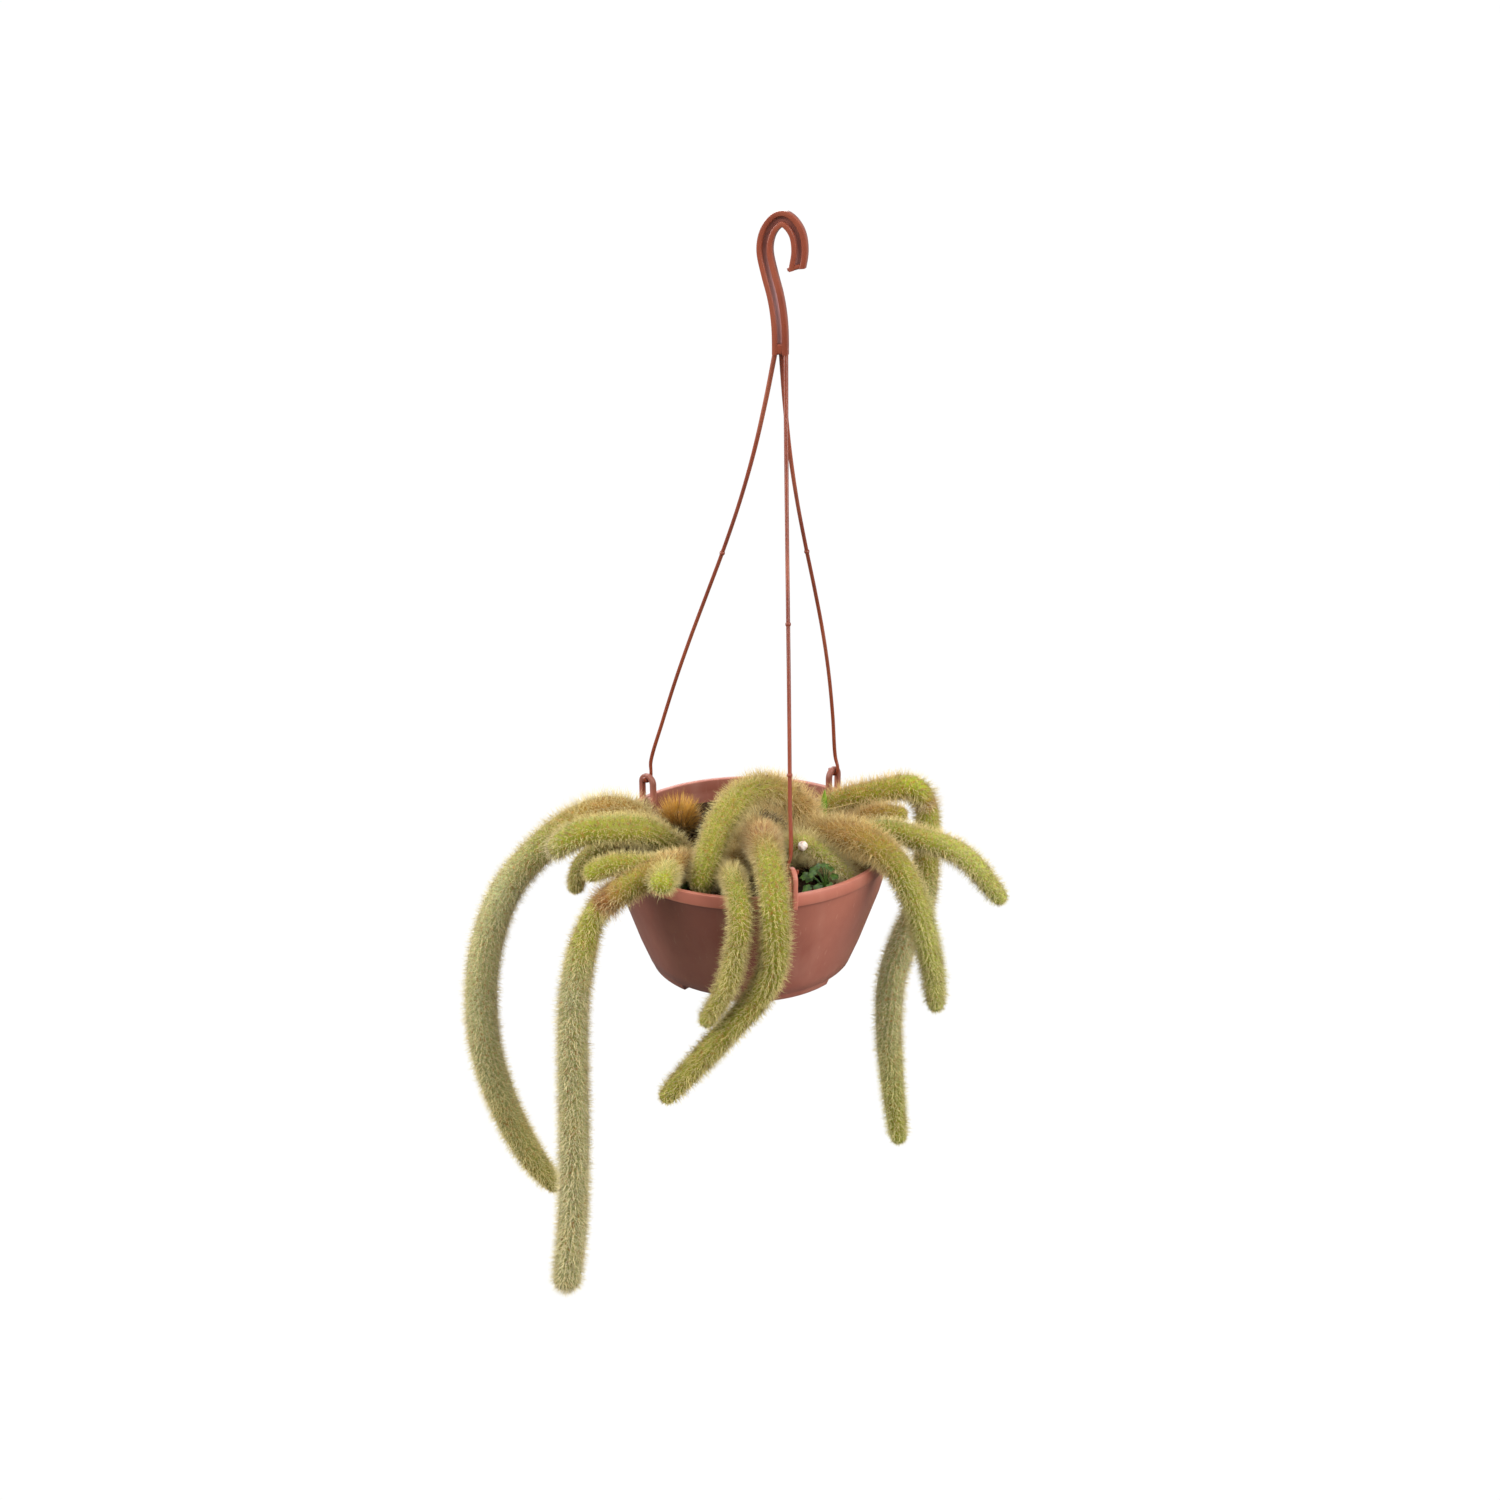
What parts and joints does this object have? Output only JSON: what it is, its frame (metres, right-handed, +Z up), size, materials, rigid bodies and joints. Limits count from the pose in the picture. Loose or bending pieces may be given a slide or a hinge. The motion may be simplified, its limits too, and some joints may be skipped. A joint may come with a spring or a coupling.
{
  "type": "monkey tail cactus in a hanging pot",
  "caption": "Hairy trailing cactus stems rooted in soil, arching over the rim of a round plastic pot that hangs from a strand hanger with a crook hook.",
  "frame": {"origin": "where the inside of the hook's crook bears on the rod or hook that it hangs from", "axes": "+Z up along the hanger, +X to the right as seen in the picture, +Y away from the viewer"},
  "size_m": [0.3784, 0.2271, 0.7427],
  "materials": {
    "pot_plastic": "terracotta-coloured moulded plastic, satin, slightly scuffed",
    "hanger_plastic": "red-brown moulded plastic, semi-gloss, shinier than the pot",
    "potting_soil": "dark moist potting mix, crumbly",
    "green_stem": "yellow-green skin with close rows of spine cushions under soft hair",
    "grey_green_stem": "grey-green skin with close rows of spine cushions under whitish hair",
    "golden_stem": "golden-brown skin and hair",
    "weed_leaf": "soft fresh green leaf",
    "white_grain": "rough off-white mineral grain"
  },
  "bodies": {
    "root": {"pot": "pot_plastic", "hanger": "hanger_plastic", "soil": "potting_soil", "stem_upper_left": "green_stem", "stem_centre_arch": "green_stem", "stem_front_long": "green_stem", "stem_front_short": "green_stem", "stem_right_long": "green_stem", "stem_right_outer": "green_stem", "stem_pot_right": "green_stem", "stem_outer_left": "grey_green_stem", "stem_under_left": "grey_green_stem", "stem_left_branching": "grey_green_stem", "stem_right_tail": "grey_green_stem", "stem_right_back": "golden_stem", "stem_golden_stub": "golden_stem", "weed_right": "weed_leaf", "weed_left": "weed_leaf", "grass_blade": "weed_leaf", "white_grain": "white_grain"}
  },
  "joints": []
}
